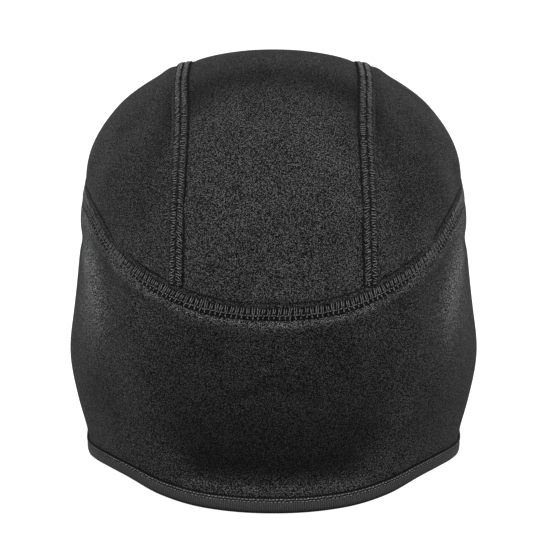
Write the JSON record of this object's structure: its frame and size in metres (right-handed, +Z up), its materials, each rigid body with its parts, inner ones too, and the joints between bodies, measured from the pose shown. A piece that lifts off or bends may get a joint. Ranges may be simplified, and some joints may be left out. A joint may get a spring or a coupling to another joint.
{
  "type": "helmet liner cap",
  "caption": "Close-fitting stretch skull cap worn under a helmet, with a three-panel crown, a deep band over ears and nape, raised seams and a bound hem.",
  "frame": {"origin": "inside of the crown's top, where the head bears", "axes": "+Z up, +Y towards the wearer's face, +X towards the wearer's right; the picture looks along +Y at the nape"},
  "size_m": [0.1748, 0.2061, 0.1749],
  "materials": {
    "cloth": "charcoal brushed stretch softshell knit, matt",
    "seam_thread": "charcoal cover-stitch thread over a flat seam",
    "binding": "charcoal ribbed elastic binding"
  },
  "bodies": {
    "root": {"crown_centre_panel": "cloth", "crown_side_panel_left": "cloth", "crown_side_panel_right": "cloth", "lower_band": "cloth", "crown_seam_left": "seam_thread", "crown_seam_right": "seam_thread", "band_seam": "seam_thread", "hem_binding": "binding"}
  },
  "joints": []
}
